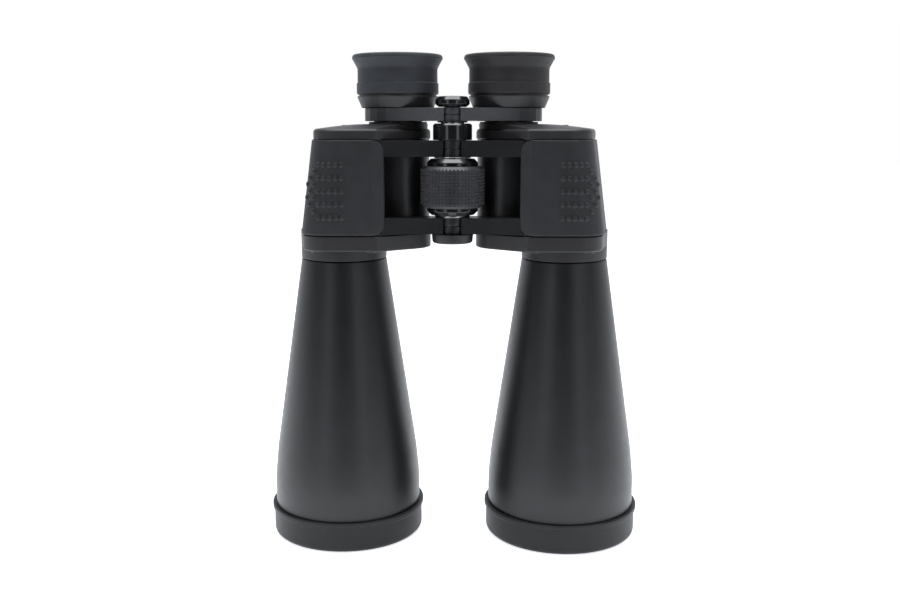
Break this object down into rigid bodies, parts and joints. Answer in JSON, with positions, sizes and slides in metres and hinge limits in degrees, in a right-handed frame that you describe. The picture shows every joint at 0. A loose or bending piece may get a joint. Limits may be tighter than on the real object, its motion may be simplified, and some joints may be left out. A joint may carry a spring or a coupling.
{
  "type": "astronomy binoculars",
  "caption": "Large Porro-prism binoculars for the night sky: conical tubes, rubber-armoured prism bodies, folding hinge, centre focus wheel, soft eyecups and push-on front caps.",
  "frame": {"origin": "middle of the footprint, on the surface the front caps stand on", "axes": "+Z from the objectives up to the eyepieces, +X to the right seen from the hinge side, -Y the hinge side"},
  "size_m": [0.2212, 0.0995, 0.281],
  "materials": {
    "tube_paint": "satin",
    "housing_paint": "satin",
    "cover_paint": "satin",
    "armour_rubber": "matte",
    "eyecup_rubber": "matte",
    "grip_rubber": "matte",
    "cap_plastic": "matte",
    "black_gloss": "gloss",
    "bridge_paint": "satin",
    "ring_plastic": "matte",
    "black_plastic": "matte",
    "black_metal": "satin",
    "steel": "satin",
    "black_steel": "satin",
    "spring_steel": "satin",
    "coated_lens": "gloss",
    "prism_glass": "gloss"
  },
  "bodies": {
    "hinge": {"hinge_axle": "steel", "hinge_collar": "black_gloss", "hinge_washers": "steel"},
    "left_half": {"left_prism_housing": "housing_paint", "left_upper_arm": "housing_paint", "left_lower_arm": "housing_paint", "left_body_armour": "armour_rubber", "left_top_cover": "cover_paint", "left_bottom_cover": "cover_paint", "left_cover_screws": "black_steel", "left_objective_tube": "tube_paint", "left_objective_cell": "black_plastic", "left_front_lens": "coated_lens", "left_rear_lens": "coated_lens", "left_lens_retainer": "black_plastic", "left_prism_shelf": "black_metal", "left_upper_prism": "prism_glass", "left_lower_prism": "prism_glass", "left_prism_clips": "spring_steel"},
    "right_half": {"right_prism_housing": "housing_paint", "right_upper_arm": "housing_paint", "right_lower_arm": "housing_paint", "right_body_armour": "armour_rubber", "right_top_cover": "cover_paint", "right_bottom_cover": "cover_paint", "right_cover_screws": "black_steel", "right_objective_tube": "tube_paint", "right_objective_cell": "black_plastic", "right_front_lens": "coated_lens", "right_rear_lens": "coated_lens", "right_lens_retainer": "black_plastic", "right_prism_shelf": "black_metal", "right_upper_prism": "prism_glass", "right_lower_prism": "prism_glass", "right_prism_clips": "spring_steel"},
    "focus_wheel": {"focus_wheel_hub": "black_gloss", "focus_wheel_grip": "grip_rubber"},
    "bridge": {"focus_spindle": "steel", "bridge_boss": "black_metal", "bridge_cap": "black_gloss"},
    "left_ocular": {"left_bridge_arm": "bridge_paint", "left_eyepiece_barrel": "black_metal", "left_field_lens": "coated_lens", "left_field_stop": "black_plastic", "left_ocular_ring": "ring_plastic", "left_eyepiece_cell": "black_metal", "left_eye_lens": "coated_lens", "left_eyecup": "eyecup_rubber"},
    "right_ocular": {"right_bridge_arm": "bridge_paint", "right_eyepiece_barrel": "black_metal", "right_field_lens": "coated_lens", "right_field_stop": "black_plastic"},
    "diopter_ring": {"right_diopter_ring": "ring_plastic"},
    "right_eyepiece": {"right_eyepiece_cell": "black_metal", "right_eye_lens": "coated_lens", "right_eyecup": "eyecup_rubber"},
    "left_cap": {"left_objective_cap": "cap_plastic"},
    "right_cap": {"right_objective_cap": "cap_plastic"},
    "tripod_cover": {"tripod_socket_cover": "black_plastic"}
  },
  "joints": [
    {"name": "left_fold", "type": "hinge", "parent": "hinge", "child": "left_half", "pos_m": [0, -0.03215, 0.208], "axis": [0, 0, 1], "range_deg": [-8, 22]},
    {"name": "right_fold", "type": "hinge", "parent": "hinge", "child": "right_half", "pos_m": [0, -0.03215, 0.208], "axis": [0, 0, 1], "range_deg": [-22, 8]},
    {"name": "focus_turn", "type": "hinge", "parent": "hinge", "child": "focus_wheel", "pos_m": [0, -0.03215, 0.208], "axis": [0, 0, 1], "range_deg": [0, 360]},
    {"name": "bridge_slide", "type": "slide", "parent": "hinge", "child": "bridge", "axis": [0, 0, 1], "range_m": [0, 0.009]},
    {"name": "left_ocular_slide", "type": "slide", "parent": "left_half", "child": "left_ocular", "axis": [0, 0, 1], "range_m": [0, 0.009]},
    {"name": "right_ocular_slide", "type": "slide", "parent": "right_half", "child": "right_ocular", "axis": [0, 0, 1], "range_m": [0, 0.009]},
    {"name": "diopter_turn", "type": "hinge", "parent": "right_ocular", "child": "diopter_ring", "pos_m": [0.031, -0.01315, 0.255], "axis": [0, 0, 1], "range_deg": [-60, 60]},
    {"name": "right_eyepiece_slide", "type": "slide", "parent": "right_ocular", "child": "right_eyepiece", "axis": [0, 0, 1], "range_m": [-0.0008, 0.0008]},
    {"name": "left_cap_off", "type": "slide", "parent": "left_half", "child": "left_cap", "axis": [0, 0, -1], "range_m": [0, 0.014]},
    {"name": "right_cap_off", "type": "slide", "parent": "right_half", "child": "right_cap", "axis": [0, 0, -1], "range_m": [0, 0.014]},
    {"name": "tripod_cover_off", "type": "slide", "parent": "hinge", "child": "tripod_cover", "axis": [0, 0, -1], "range_m": [0, 0.03]}
  ],
  "couplings": [
    {"joint": "right_fold", "follows": "left_fold", "ratio": -1},
    {"joint": "focus_turn", "follows": "bridge_slide", "rad_per_m": 698.1},
    {"joint": "left_ocular_slide", "follows": "bridge_slide", "ratio": 1},
    {"joint": "right_ocular_slide", "follows": "bridge_slide", "ratio": 1},
    {"joint": "diopter_turn", "follows": "right_eyepiece_slide", "rad_per_m": 1309}
  ]
}
